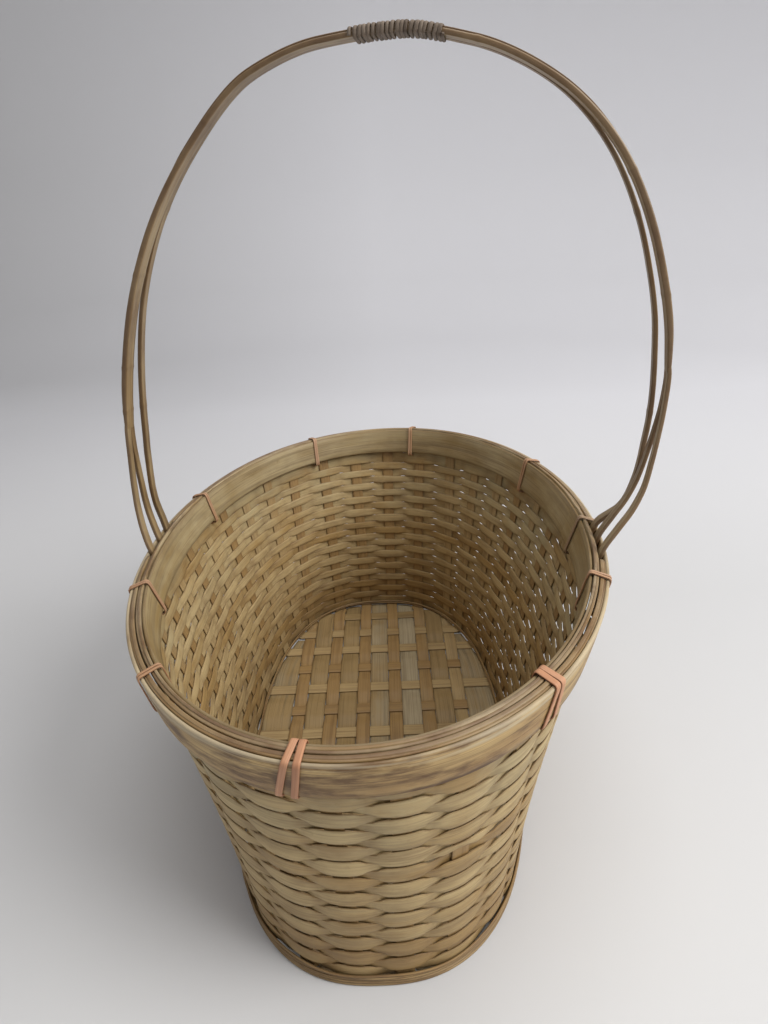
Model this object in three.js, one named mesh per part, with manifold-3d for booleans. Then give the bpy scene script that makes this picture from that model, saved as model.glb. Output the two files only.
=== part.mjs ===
// Woven bamboo market basket with a tall bowed handle. Millimetres, +Z up.
// Origin: on the floor, under the middle of the base. +X is the handle's right foot, -Y the front.
import * as THREE from 'three';
import { mergeVertices } from 'three/addons/utils/BufferGeometryUtils.js';
import Module from 'manifold-3d';

const wasm = await Module();
wasm.setup();

// ---- Wall: the middle surface of the weave, from the floor (t = 0) to the rim top (t = 1) ----
const RIM_HEIGHT = 200;
const RIM_CLIMB = 0.045;
const FLOOR_HALF = { x: 106, y: 199.5 };
const RIM_HALF = { x: 155, y: 221.5 };
const WALL_HOLLOW = { x: 3.6, y: 5 };
const FLOOR_SQUARENESS = 2.5;
const RIM_SQUARENESS = 2.04;
const OUTLINE_STEPS = 720;
const NUDGE = 0.002;

// ---- Base sheet ----
const GRID = 29;
const SPLINT = 1.0;
const LEVEL_LOW = 0.5;
const LEVEL_CROSS = 1.8;
const LEVEL_HIGH = 3.1;
const WIDE_SLAT = 15.5;
const NARROW_SLAT = 10.5;
const WIDE_SLAT_COLUMNS = [-3, -2, -1, 0, 1, 2, 3];
const STAKE_COLUMNS = [-2.5, -1.5, -0.5, 0.5, 1.5, 2.5];
const STAKE_ROWS = [-5, -4, -3, -2, -1, 0, 1, 2, 3, 4, 5];
const LAST_ROW = 6;
const SHORT_SLAT_HALF = 56;
const CROSSING_HALF = 6.6;
const SLAT_END_GAP = 3.5;
const STAKE_END_GAP = 4.7;
const BEND_REACH = 3.2;
const BEND_TOP = 0.028;
const BEND_MIDDLE = { reach: 0.9, z: 2.7 };

// ---- Weavers ----
const WEAVERS = 12;
const ROW_PITCH = 7.01;
const FIRST_ROW_FOOT = 5.2;
const WEAVER_WIDTH = 6.5;
const WEAVER_THICKNESS = 0.8;
const WEAVE_DEPTH = 3.0;
const CORNER_DEPTH = 0.17;

// ---- Rim ----
const OUTER_BAND = { offset: 5.0, thickness: 2.2, foot: 0.876, top: 1 };
const INNER_BAND = { offset: -4.9, thickness: 2.0, foot: 0.885, top: 0.996 };
const FILLER = { offset: 2.0, width: 3.0, height: 3.2, middle: 0.994 };
const STAKE_STATIONS = [0.12, 0.35, 0.65];
const STAKE_TOP = 0.98;
const RING_STEPS = 68;
const FILLER_FRONT = { from: 0.517, to: 0.936 };
const FILLER_BACK = { from: -0.0185, to: 0.4695 };

// ---- Foot rounds ----
const FOOT_ROUND = { offset: 3.1, middle: 1.1, width: 2.6, height: 2.2 };
const UPPER_ROUND = { offset: 3.4, middle: 3.3, width: 2.2, height: 1.6 };

// ---- Lashings: the gap between stakes each is tied through, its slide along the rim from the
// middle of that gap, and its turns round the rim ----
const LASHINGS = [
  { name: 'back_left', gap: 10, slide: -9, turns: 1 },
  { name: 'back_right', gap: 7, slide: -9, turns: 1 },
  { name: 'right_back', gap: 2, slide: 9, turns: 1 },
  { name: 'handle_right', gap: 33, slide: -4.5, turns: 1 },
  { name: 'right', gap: 31, slide: -9, turns: 1 },
  { name: 'front_right', gap: 28, slide: -4, turns: 2 },
  { name: 'front', gap: 24, slide: 6.5, turns: 2 },
  { name: 'front_left', gap: 21, slide: 3, turns: 1 },
  { name: 'left', gap: 18, slide: 9, turns: 1 },
  { name: 'left_back', gap: 14, slide: 3.7, turns: 1 },
];
const LASHING = {
  width: 4.2,
  thickness: 0.7,
  inner: -6.7,
  outer: 6.9,
  top: 1.0065,
  foot: 0.8717,
  chamfer: 0.8,
};
// The foot rounds take their outward direction from just above the floor.
const ROUND_FRAME = 0.01;
const LASHING_FRAME = 0.94;
const LASHING_STEP = 5.4;

// ---- Handle: a wide bow and a narrow one behind it, in an upright plane turned a little about Z ----
const HANDLE_PLANE = { y: -16.5, slope: -0.18 };
const BOW = { width: 10, thickness: 3.4, offset: 5.3 };
const BACK_BOW = { width: 5.2, thickness: 2.8, from: 0.045, to: 0.955, legs: [0, 0.02] };
const LEG_THICKNESS = 2.3;
const SPLIT_WIDTH = 4.8;
// How far from the bow's end, as a share of its length, the two upper points of a split leg lie.
const SPLIT_ENDS = [0.004, 0.016];
const SPLIT_OFFSET = 2.55;
const LEG_CHANNEL = 2.05;
const LEG_FOOT = 0.885;
const LEG_MIDDLE = 0.94;
const LEG_EXIT = 1.005;
// Each spine point is [x, z] of the bow, then its distance behind the handle's plane.
const FRONT_SPINE = [
  [-163, 262], [-157.5, 300], [-144, 350], [-121, 400], [-88, 444], [-46, 479], [-8, 490],
  [32, 492.5], [70, 485.5], [112, 465.5], [147, 430], [168.5, 384], [180, 337], [183, 300],
];
const BACK_SPINE = [
  [-157, 255, 8.6], [-151.5, 300, 8.6], [-140.5, 350, 7.1], [-119.5, 400, 4.6], [-87.5, 444, 2.9],
  [-46, 479, 2.9], [-8, 490, 2.9], [32, 492.5, 2.9], [70, 485.5, 2.9], [112, 465.5, 2.9],
  [145, 430, 3.6], [166, 384, 5.6], [177, 337, 7.1], [180, 294, 7.6], [177, 255, 6.6],
];
const LEGS = {
  frontLeft: { side: -1, y: -10, knee: [-165, 228, -11] },
  rearLeft: { side: -1, y: 9, knee: [-163, 228, 0] },
  backLeft: { side: -1, y: 25, knee: [-158, 226, 6.6] },
  frontRight: { side: 1, y: -66, knee: [174, 248, -14] },
  rearRight: { side: 1, y: -46, knee: [174, 248, -1] },
  backRight: { side: 1, y: -31, knee: [171, 230, 6.6] },
};
const BOW_STEPS = 56;
const LEG_STEPS = 9;
// A leg has turned fully into the handle's plane at this many times its own run.
const LEG_TURN = 1.5;
const SPLINT_PIECE = { from: 15, to: 44, width: 8.6, thickness: 1.6, rise: 2.0, offset: 5.2 };
const SPLINT_TAPER = { tip: 0.35, growth: 6 };
const CORD = { from: 8.5, turns: 20, pitch: 2.4, width: 2.0, thickness: 1.5 };
const CORD_SEARCH_STEPS = 400;
const CORD_LOOP = [
  [-11.6, -1.5], [-11.6, 3.4], [-10, 5], [5.2, 5], [6.8, 3.4], [6.8, -1.5], [5.2, -3.1], [-10, -3.1],
];

const MATERIALS = {
  weaver: new THREE.MeshStandardMaterial({ color: 0xc0b087, roughness: 0.72, metalness: 0 }),
  stake: new THREE.MeshStandardMaterial({ color: 0xb9a67c, roughness: 0.7, metalness: 0 }),
  slat: new THREE.MeshStandardMaterial({ color: 0xb5a175, roughness: 0.7, metalness: 0 }),
  rim: new THREE.MeshStandardMaterial({ color: 0xb3a27b, roughness: 0.62, metalness: 0 }),
  handle: new THREE.MeshStandardMaterial({ color: 0xa08a60, roughness: 0.5, metalness: 0 }),
  lashing: new THREE.MeshStandardMaterial({ color: 0xd9a283, roughness: 0.65, metalness: 0 }),
  cord: new THREE.MeshStandardMaterial({ color: 0x8f8272, roughness: 0.85, metalness: 0 }),
  round: new THREE.MeshStandardMaterial({ color: 0x9a7a55, roughness: 0.7, metalness: 0 }),
};

const basket = new THREE.Group();
basket.name = 'woven_market_basket';

// ---- Wall surface ----

const mix = (a, b, k) => a + (b - a) * k;

function squircle(half, squareness, angle) {
  const grow = (value) => Math.sign(value) * Math.abs(value) ** (2 / squareness);
  return [half.x * grow(Math.cos(angle)), half.y * grow(Math.sin(angle))];
}

const outlines = new Map();

// The wall's closed outline at height fraction t, with the length run at each corner.
function outline(t) {
  const key = t.toFixed(5);
  if (outlines.has(key)) return outlines.get(key);
  const sag = 4 * t * (1 - t);
  const half = {
    x: mix(FLOOR_HALF.x, RIM_HALF.x, t) - WALL_HOLLOW.x * sag,
    y: mix(FLOOR_HALF.y, RIM_HALF.y, t) - WALL_HOLLOW.y * sag,
  };
  const squareness = mix(FLOOR_SQUARENESS, RIM_SQUARENESS, t);
  const points = [];
  const run = [0];
  for (let i = 0; i <= OUTLINE_STEPS; i++) {
    points.push(squircle(half, squareness, (2 * Math.PI * i) / OUTLINE_STEPS));
    if (i === 0) continue;
    const [x, y] = points[i - 1];
    run.push(run[i - 1] + Math.hypot(points[i][0] - x, points[i][1] - y));
  }
  const made = { points, run, length: run[OUTLINE_STEPS] };
  outlines.set(key, made);
  return made;
}

// Point on the wall's middle surface; u is the fraction of the way round from the right side.
function wallPoint(t, u) {
  const { points, run, length } = outline(t);
  const target = (u - Math.floor(u)) * length;
  let low = 0;
  let high = OUTLINE_STEPS;
  while (high - low > 1) {
    const middle = (low + high) >> 1;
    if (run[middle] <= target) low = middle;
    else high = middle;
  }
  const k = (target - run[low]) / (run[high] - run[low]);
  const x = mix(points[low][0], points[high][0], k);
  const y = mix(points[low][1], points[high][1], k);
  return new THREE.Vector3(x, y, t * (RIM_HEIGHT + RIM_CLIMB * x));
}

// Unit vectors along the wall, up it and out of it.
function wallFrame(t, u) {
  const along = wallPoint(t, u + NUDGE).sub(wallPoint(t, u - NUDGE)).normalize();
  const rise = wallPoint(t + NUDGE, u).sub(wallPoint(t - NUDGE, u)).normalize();
  const out = along.clone().cross(rise).normalize();
  return { along, out, up: out.clone().cross(along) };
}

function offWall(t, u, distance) {
  return wallPoint(t, u).addScaledVector(wallFrame(t, u).out, distance);
}

// The u at which the outline at height t has the given x or y.
// The sign picks the side, by the sign of the other axis.
function findU(t, axis, value, sign) {
  const { points, run, length } = outline(t);
  const other = 1 - axis;
  for (let i = 0; i < OUTLINE_STEPS; i++) {
    const a = points[i];
    const b = points[i + 1];
    if ((a[other] + b[other]) * sign <= 0) continue;
    if ((a[axis] - value) * (b[axis] - value) > 0) continue;
    const k = (value - a[axis]) / (b[axis] - a[axis]);
    return mix(run[i], run[i + 1], k) / length;
  }
  throw new Error('outline never reaches ' + value);
}

// ---- Strip builder ----

// Corners of a rectangular section; each station has a centre, an across and a normal direction.
function corners(station) {
  const { centre, across, normal, width, thickness } = station;
  return [[-1, -1], [1, -1], [1, 1], [-1, 1]].map(([a, b]) => {
    const corner = centre.clone().addScaledVector(across, (a * width) / 2);
    return corner.addScaledVector(normal, (b * thickness) / 2);
  });
}

function signedVolume(vertices, faces) {
  const cross = new THREE.Vector3();
  return faces.reduce((sum, [a, b, c]) =>
    sum + vertices[a].dot(cross.crossVectors(vertices[b], vertices[c])) / 6, 0);
}

// A flat strip swept through its stations, closed on itself or capped at both ends.
function strip(stations, closed = false) {
  const vertices = stations.flatMap(corners);
  const count = stations.length;
  const faces = [];
  for (let i = 0; i < (closed ? count : count - 1); i++) {
    const near = 4 * i;
    const far = 4 * ((i + 1) % count);
    for (let k = 0; k < 4; k++) {
      const next = (k + 1) % 4;
      faces.push([near + k, near + next, far + next], [near + k, far + next, far + k]);
    }
  }
  if (!closed) {
    const end = 4 * (count - 1);
    faces.push([0, 3, 2], [0, 2, 1], [end, end + 1, end + 2], [end, end + 2, end + 3]);
  }
  if (signedVolume(vertices, faces) < 0) faces.forEach((face) => face.reverse());
  const geometry = new THREE.BufferGeometry();
  const positions = vertices.flatMap((vertex) => vertex.toArray());
  geometry.setAttribute('position', new THREE.Float32BufferAttribute(positions, 3));
  geometry.setIndex(faces.flat());
  return geometry;
}

function add(name, geometry, material) {
  const mesh = new THREE.Mesh(geometry, MATERIALS[material]);
  mesh.name = name;
  basket.add(mesh);
}

const label = (index) => String(index + 1).padStart(2, '0');

// ---- Base sheet and stakes ----

const X_AXIS = new THREE.Vector3(1, 0, 0);
const Y_AXIS = new THREE.Vector3(0, 1, 0);
const Z_AXIS = new THREE.Vector3(0, 0, 1);

function flatStation(x, y, z, across, width) {
  return { centre: new THREE.Vector3(x, y, z), across, normal: Z_AXIS, width, thickness: SPLINT };
}

// Reach of the base sheet along an axis, at a given distance off that axis.
function floorReach(axis, distance) {
  const half = axis === 0 ? FLOOR_HALF : { x: FLOOR_HALF.y, y: FLOOR_HALF.x };
  return half.x * (1 - (distance / half.y) ** FLOOR_SQUARENESS) ** (1 / FLOOR_SQUARENESS);
}

// A front-to-back strip woven over and under the cross strips, from one end of the base to the other.
function wovenRun(column, width, reach) {
  const x = column * GRID;
  const isWide = Number.isInteger(column);
  const rows = [];
  for (let row = -LAST_ROW; row <= LAST_ROW; row++) {
    const short = Math.abs(row) === LAST_ROW;
    if (Math.abs(row) * GRID + CROSSING_HALF > reach) continue;
    if (short && Math.abs(x) + width / 2 > SHORT_SLAT_HALF) continue;
    rows.push(row);
  }
  const level = (row) => ((row % 2 === 0) === isWide ? LEVEL_LOW : LEVEL_HIGH);
  return rows.flatMap((row) => [-1, 1].map((side) =>
    flatStation(x, row * GRID + side * CROSSING_HALF, level(row), X_AXIS, width)));
}

function makeWideSlats() {
  WIDE_SLAT_COLUMNS.forEach((column, index) => {
    const reach = floorReach(1, Math.abs(column * GRID) + WIDE_SLAT / 2) - SLAT_END_GAP;
    const run = wovenRun(column, WIDE_SLAT, reach);
    run[0].centre.y = -reach;
    run[run.length - 1].centre.y = reach;
    add('base_slat_' + label(index), strip(run), 'slat');
  });
}

function makeShortSlats() {
  [[-1, 'front'], [1, 'back']].forEach(([side, name]) => {
    const y = side * LAST_ROW * GRID;
    const run = [-SHORT_SLAT_HALF, SHORT_SLAT_HALF].map((x) =>
      flatStation(x, y, LEVEL_CROSS, Y_AXIS, NARROW_SLAT));
    add('base_short_slat_' + name, strip(run), 'slat');
  });
}

// The stakes in order round the wall, from the middle of the right side: back, left, front, right.
function stakeFeet() {
  const rows = [...STAKE_ROWS];
  const columns = [...STAKE_COLUMNS];
  const right = (row) => findU(0, 1, row * GRID, 1);
  const left = (row) => findU(0, 1, row * GRID, -1);
  return [
    ...rows.filter((row) => row >= 0).map(right),
    ...columns.toReversed().map((column) => findU(0, 0, column * GRID, 1)),
    ...rows.toReversed().map(left),
    ...columns.map((column) => findU(0, 0, column * GRID, -1)),
    ...rows.filter((row) => row < 0).map(right),
  ];
}

const RIGHT_BEHIND = STAKE_ROWS.filter((row) => row >= 0).length;
const RIGHT_AHEAD = STAKE_ROWS.filter((row) => row < 0).length;
const FEET = stakeFeet();
const STAKES = FEET.length;

// Stakes stand where the base puts them and fan out to an even spacing at the rim.
function stakeU(index, t) {
  const turns = Math.floor(index / STAKES);
  const stake = index - turns * STAKES;
  return turns + mix(FEET[stake], stake / STAKES, t);
}

// One stake's run from the base edge up the wall, starting with the bend.
function stakeRun(index, sheetAcross) {
  const footU = stakeU(index, BEND_TOP);
  const foot = wallPoint(BEND_TOP, footU);
  const { along, out } = wallFrame(BEND_TOP, footU);
  const turn = Math.sign(along.dot(sheetAcross));
  const across = along.clone().setZ(0).normalize().multiplyScalar(turn);
  const inward = out.clone().setZ(0).normalize().negate();
  const flat = (reach, z) => ({
    centre: foot.clone().addScaledVector(inward, reach).setZ(z),
    across,
    normal: Z_AXIS,
    width: NARROW_SLAT,
    thickness: SPLINT,
  });
  const bend = flat(BEND_MIDDLE.reach, BEND_MIDDLE.z);
  bend.normal = Z_AXIS.clone().add(inward).normalize();
  const wall = [BEND_TOP, ...STAKE_STATIONS, STAKE_TOP].map((t) => {
    const u = stakeU(index, t);
    const frame = wallFrame(t, u);
    return {
      centre: wallPoint(t, u),
      across: frame.along.clone().multiplyScalar(turn),
      normal: frame.out.clone().negate(),
      width: NARROW_SLAT,
      thickness: SPLINT,
    };
  });
  return [flat(BEND_REACH, LEVEL_CROSS), bend, ...wall];
}

function makeStakes() {
  STAKE_COLUMNS.forEach((column, index) => {
    const reach = floorReach(1, Math.abs(column * GRID)) - STAKE_END_GAP;
    const backIndex = RIGHT_BEHIND + STAKE_COLUMNS.length - 1 - index;
    const frontIndex = STAKES - RIGHT_AHEAD - STAKE_COLUMNS.length + index;
    const back = stakeRun(backIndex, X_AXIS);
    const front = stakeRun(frontIndex, X_AXIS);
    const middle = wovenRun(column, NARROW_SLAT, reach);
    add('end_stake_' + label(index), strip([...front.toReversed(), ...middle, ...back]), 'stake');
  });
  STAKE_ROWS.forEach((row, index) => {
    const rightIndex = (row + STAKES) % STAKES;
    const leftIndex = STAKES / 2 - row;
    const right = stakeRun(rightIndex, Y_AXIS);
    const left = stakeRun(leftIndex, Y_AXIS);
    add('side_stake_' + label(index), strip([...left.toReversed(), ...right]), 'stake');
  });
}

// ---- Weavers: each strip runs two rounds, steps up a row between them and tucks in its ends ----

function weaverStation(index, row, side) {
  const t = (FIRST_ROW_FOOT + ROW_PITCH * (row + 0.5)) / RIM_HEIGHT;
  const u = stakeU(index, t);
  const frame = wallFrame(t, u);
  const before = wallPoint(t, stakeU(index - 1, t));
  const chord = before.lerp(wallPoint(t, stakeU(index + 1, t)), 0.5);
  const bulge = wallPoint(t, u).sub(chord).dot(frame.out);
  const depth = side * WEAVE_DEPTH + (side > 0 ? CORNER_DEPTH * bulge : 0);
  return {
    centre: wallPoint(t, u).addScaledVector(frame.out, depth),
    across: frame.up,
    normal: frame.out,
    width: WEAVER_WIDTH,
    thickness: WEAVER_THICKNESS,
  };
}

function makeWeavers() {
  for (let weaver = 0; weaver < WEAVERS; weaver++) {
    const lower = 2 * weaver;
    const stations = [weaverStation(-1, lower, -1)];
    for (let row = lower; row <= lower + 1; row++) {
      for (let stake = 0; stake < STAKES; stake++) {
        stations.push(weaverStation(stake, row, (stake + row) % 2 === 0 ? -1 : 1));
      }
    }
    stations.push(weaverStation(STAKES, lower + 1, -1));
    add('weaver_' + label(weaver), strip(stations), 'weaver');
  }
}

// ---- Rim ----

function bandStation(u, { offset, thickness, foot, top }) {
  const middle = (foot + top) / 2;
  const frame = wallFrame(middle, u);
  return {
    centre: offWall(middle, u, offset),
    across: frame.up,
    normal: frame.out,
    width: wallPoint(top, u).distanceTo(wallPoint(foot, u)),
    thickness,
  };
}

function ring(make) {
  return strip(Array.from({ length: RING_STEPS }, (_, i) => make(i / RING_STEPS)), true);
}

function arc(from, to, make) {
  const steps = Math.round((to - from) * RING_STEPS);
  return strip(Array.from({ length: steps + 1 }, (_, i) => make(mix(from, to, i / steps))));
}

function fillerStation(u, distance) {
  const frame = wallFrame(FILLER.middle, u);
  return {
    centre: offWall(FILLER.middle, u, distance),
    across: frame.up,
    normal: frame.out,
    width: FILLER.height,
    thickness: FILLER.width,
  };
}

function makeRim() {
  const outer = (u) => bandStation(u, OUTER_BAND);
  const inner = (u) => bandStation(u, INNER_BAND);
  add('rim_band_outer', ring(outer), 'rim');
  add('rim_band_inner', ring(inner), 'rim');
  add('rim_filler_inner', ring((u) => fillerStation(u, -FILLER.offset)), 'rim');
  const filler = (u) => fillerStation(u, FILLER.offset);
  add('rim_filler_front', arc(FILLER_FRONT.from, FILLER_FRONT.to, filler), 'rim');
  add('rim_filler_back', arc(FILLER_BACK.from, FILLER_BACK.to, filler), 'rim');
}

function makeFootRounds() {
  [['foot_round_lower', FOOT_ROUND], ['foot_round_upper', UPPER_ROUND]].forEach(([name, round]) => {
    const station = (u) => {
      const { out } = wallFrame(ROUND_FRAME, u);
      const level = out.clone().setZ(0).normalize();
      const centre = wallPoint(0, u).addScaledVector(level, round.offset).setZ(round.middle);
      return { centre, across: level, normal: Z_AXIS, width: round.width, thickness: round.height };
    };
    add(name, ring(station), 'round');
  });
}

// One turn of a lashing in the wall's cross-section, as [out of the wall, height fraction].
function lashingTurn() {
  const { inner, outer, top, foot, chamfer } = LASHING;
  const drop = chamfer / RIM_HEIGHT;
  return [
    [inner + chamfer, foot], [inner, foot + drop], [inner, top - drop], [inner + chamfer, top],
    [outer - chamfer, top], [outer, top - drop], [outer, foot + drop], [outer - chamfer, foot],
  ];
}

function lashingStation(gap, shift, [distance, t], [before, after]) {
  const u = (gap + 0.5) / STAKES + shift / outline(1).length;
  const frame = wallFrame(LASHING_FRAME, u);
  const direction = [after[0] - before[0], (after[1] - before[1]) * RIM_HEIGHT];
  const normal = frame.out.clone().multiplyScalar(-direction[1]);
  normal.addScaledVector(frame.up, direction[0]);
  return {
    centre: offWall(t, u, distance),
    across: frame.along,
    normal: normal.normalize(),
    width: LASHING.width,
    thickness: LASHING.thickness,
  };
}

function makeLashings() {
  const turn = lashingTurn();
  const count = turn.length;
  LASHINGS.forEach(({ name, gap, slide, turns }) => {
    const stations = [];
    for (let i = 0; i < turns * count; i++) {
      const shift = slide + (Math.floor(i / count) - (turns - 1) / 2) * LASHING_STEP;
      const around = [turn[(i + count - 1) % count], turn[(i + 1) % count]];
      stations.push(lashingStation(gap, shift, turn[i % count], around));
    }
    add('lashing_' + name, strip(stations, turns === 1), 'lashing');
  });
}

// ---- Handle ----

const handleAcross = new THREE.Vector3(-HANDLE_PLANE.slope, 1, 0).normalize();

// A point of the handle from its x, its height and its distance behind the handle's own plane.
function handlePoint([x, z, behind]) {
  return new THREE.Vector3(x, HANDLE_PLANE.y + HANDLE_PLANE.slope * x + behind, z);
}

function bowCurve(points) {
  return new THREE.CatmullRomCurve3(points.map(handlePoint), false, 'centripetal');
}

function handleStation(curve, k, width, thickness) {
  const tangent = curve.getTangentAt(k);
  const normal = handleAcross.clone().cross(tangent).normalize().negate();
  return { centre: curve.getPointAt(k), across: handleAcross, normal, width, thickness };
}

// A leg's lower end, standing in the channel between the stakes and the outer band.
function legFoot({ side, y }) {
  const u = findU(1, 1, y, side);
  return [LEG_FOOT, LEG_MIDDLE, LEG_EXIT].map((t) => {
    const frame = wallFrame(t, u);
    return {
      centre: offWall(t, u, LEG_CHANNEL),
      across: frame.along.clone().multiplyScalar(Math.sign(frame.along.y)),
      normal: frame.out,
    };
  });
}

// The stations of a leg from its foot up to a point inside the bow.
function legStations(leg, top, width) {
  const foot = legFoot(leg);
  const exit = foot[foot.length - 1];
  const knee = handlePoint(leg.knee);
  const curve = new THREE.CatmullRomCurve3([foot[1].centre, exit.centre, knee, ...top]);
  const stations = foot.slice(0, 2);
  for (let i = 1; i <= LEG_STEPS; i++) {
    const k = i / LEG_STEPS;
    const tangent = curve.getTangentAt(k);
    const across = exit.across.clone().lerp(handleAcross, Math.min(1, k * LEG_TURN));
    across.addScaledVector(tangent, -across.dot(tangent)).normalize();
    const normal = across.clone().cross(tangent).normalize();
    normal.multiplyScalar(Math.sign(normal.dot(exit.normal)));
    stations.push({ centre: curve.getPointAt(k), across, normal });
  }
  stations.forEach((station) => Object.assign(station, { width, thickness: LEG_THICKNESS }));
  return stations;
}

function solid(geometry) {
  const bare = geometry.clone();
  bare.deleteAttribute('normal');
  bare.deleteAttribute('uv');
  const merged = mergeVertices(bare);
  return new wasm.Manifold(new wasm.Mesh({
    numProp: 3,
    vertProperties: new Float32Array(merged.attributes.position.array),
    triVerts: new Uint32Array(merged.index.array),
  }));
}

function union(geometries) {
  const mesh = geometries.map(solid).reduce((whole, next) => whole.add(next)).getMesh();
  const geometry = new THREE.BufferGeometry();
  geometry.setAttribute('position', new THREE.Float32BufferAttribute(mesh.vertProperties, 3));
  geometry.setIndex(Array.from(mesh.triVerts));
  return geometry;
}

// The front bow is split lengthwise into two legs at each foot.
function makeFrontBow() {
  const curve = bowCurve(FRONT_SPINE.map(([x, z]) => [x, z, -BOW.offset]));
  const main = Array.from({ length: BOW_STEPS + 1 }, (_, i) =>
    handleStation(curve, i / BOW_STEPS, BOW.width, BOW.thickness));
  const fromLeft = SPLIT_ENDS;
  const fromRight = SPLIT_ENDS.map((k) => 1 - k);
  const split = (leg, ends, shift) => {
    const top = ends.map((k) => curve.getPointAt(k).addScaledVector(handleAcross, shift * SPLIT_OFFSET));
    return strip(legStations(leg, top, SPLIT_WIDTH));
  };
  add('handle_bow_front', union([
    strip(main),
    split(LEGS.frontLeft, fromLeft, -1),
    split(LEGS.rearLeft, fromLeft, 1),
    split(LEGS.frontRight, fromRight, -1),
    split(LEGS.rearRight, fromRight, 1),
  ]), 'handle');
}

// The back bow is one narrow strip from foot to foot, thinned where it enters the rim.
function makeBackBow() {
  const curve = bowCurve(BACK_SPINE);
  const { width, thickness, from, to, legs } = BACK_BOW;
  const leg = (shape, ends) => legStations(shape, ends.map((k) => curve.getPointAt(k)), width);
  const left = leg(LEGS.backLeft, legs);
  const right = leg(LEGS.backRight, legs.map((k) => 1 - k));
  const middle = Array.from({ length: BOW_STEPS - 3 }, (_, i) =>
    handleStation(curve, mix(from, to, i / (BOW_STEPS - 4)), width, thickness));
  add('handle_bow_back', strip([...left, ...middle, ...right.toReversed()]), 'handle');
}

// A thin splint lies along the top of the bows and tapers out on each side.
function makeSplint() {
  const curve = bowCurve(FRONT_SPINE.map(([x, z]) => [x, z, -SPLINT_PIECE.offset]));
  const { from, to, width, thickness, rise } = SPLINT_PIECE;
  const stations = Array.from({ length: to - from + 1 }, (_, i) => {
    const k = i / (to - from);
    const taper = Math.min(1, SPLINT_TAPER.tip + SPLINT_TAPER.growth * Math.min(k, 1 - k));
    const station = handleStation(curve, (from + i) / BOW_STEPS, width * taper, thickness * taper);
    station.centre.addScaledVector(station.normal, rise + station.thickness / 2);
    return station;
  });
  add('handle_splint', strip(stations), 'handle');
}

// The cord is wound side by side round both bows at the top of the arch.
function makeCordWrap() {
  const curve = bowCurve(FRONT_SPINE.map(([x, z]) => [x, z, 0]));
  const length = curve.getLength();
  let start = 0;
  while (curve.getPointAt(start / CORD_SEARCH_STEPS).x < CORD.from) start++;
  const count = CORD_LOOP.length;
  const stations = [];
  for (let i = 0; i <= CORD.turns * count; i++) {
    const run = start / CORD_SEARCH_STEPS + ((i / count) * CORD.pitch) / length;
    const { centre, normal } = handleStation(curve, run, 0, 0);
    const [across, rise] = CORD_LOOP[i % count];
    const [a, b] = [CORD_LOOP[(i + count - 1) % count], CORD_LOOP[(i + 1) % count]];
    const outward = handleAcross.clone().multiplyScalar(a[1] - b[1]);
    outward.addScaledVector(normal, b[0] - a[0]);
    stations.push({
      centre: centre.addScaledVector(handleAcross, across).addScaledVector(normal, rise),
      across: curve.getTangentAt(run),
      normal: outward.normalize(),
      width: CORD.width,
      thickness: CORD.thickness,
    });
  }
  add('handle_cord_wrap', strip(stations), 'cord');
}

makeWideSlats();
makeShortSlats();
makeStakes();
makeWeavers();
makeFootRounds();
makeRim();
makeLashings();
makeFrontBow();
makeBackBow();
makeSplint();
makeCordWrap();

export default basket;
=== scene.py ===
"""Woven bamboo market basket: the fine surface of every strip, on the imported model's frame."""

import math

import bpy
import numpy as np
from mathutils import Matrix, Vector


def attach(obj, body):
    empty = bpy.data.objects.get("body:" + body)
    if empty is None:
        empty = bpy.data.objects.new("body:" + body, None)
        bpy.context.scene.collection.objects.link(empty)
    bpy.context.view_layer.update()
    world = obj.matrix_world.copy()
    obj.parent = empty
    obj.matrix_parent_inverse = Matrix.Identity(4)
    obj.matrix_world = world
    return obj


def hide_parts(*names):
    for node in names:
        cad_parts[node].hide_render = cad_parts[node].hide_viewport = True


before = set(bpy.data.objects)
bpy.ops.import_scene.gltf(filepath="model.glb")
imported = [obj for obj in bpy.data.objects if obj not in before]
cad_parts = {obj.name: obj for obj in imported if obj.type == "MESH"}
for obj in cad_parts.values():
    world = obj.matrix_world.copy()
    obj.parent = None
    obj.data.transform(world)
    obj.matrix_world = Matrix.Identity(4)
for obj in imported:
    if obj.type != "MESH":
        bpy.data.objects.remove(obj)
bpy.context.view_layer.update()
MM = 0.001
RNG = np.random.default_rng(11)

# ---- The basket's wall and strips, in millimetres, as the CAD model has them ----
RIM_HEIGHT, RIM_CLIMB = 200.0, 0.045
FLOOR_HALF, RIM_HALF = (106.0, 199.5), (155.0, 221.5)
WALL_HOLLOW = (3.6, 5.0)
FLOOR_SQUARENESS, RIM_SQUARENESS = 2.5, 2.04
OUTLINE_STEPS = 720
NUDGE = 0.002

GRID = 29.0
SPLINT, FLOOR_CLEARANCE = 1.0, 0.05
LEVEL_LOW, LEVEL_CROSS, LEVEL_HIGH = 0.5, 1.8, 3.1
WIDE_SLAT, NARROW_SLAT = 15.5, 10.5
WIDE_SLAT_COLUMNS = range(-3, 4)
STAKE_COLUMNS = (-2.5, -1.5, -0.5, 0.5, 1.5, 2.5)
STAKE_ROWS = range(-5, 6)
LAST_ROW = 6
SHORT_SLAT_HALF = 56.0
CROSSING_HALF = 6.6
SLAT_END_GAP, STAKE_END_GAP = 0.8, 4.7
SLAT_EDGE_GAP, OUTER_SLAT_SPREAD, LEAST_SLAT = 1.8, 9.0, 2.0
STRIP_THICKNESS, STRIP_CROWN, BASE_DIRT = 0.9 * SPLINT, 0.05, 0.35
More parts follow.
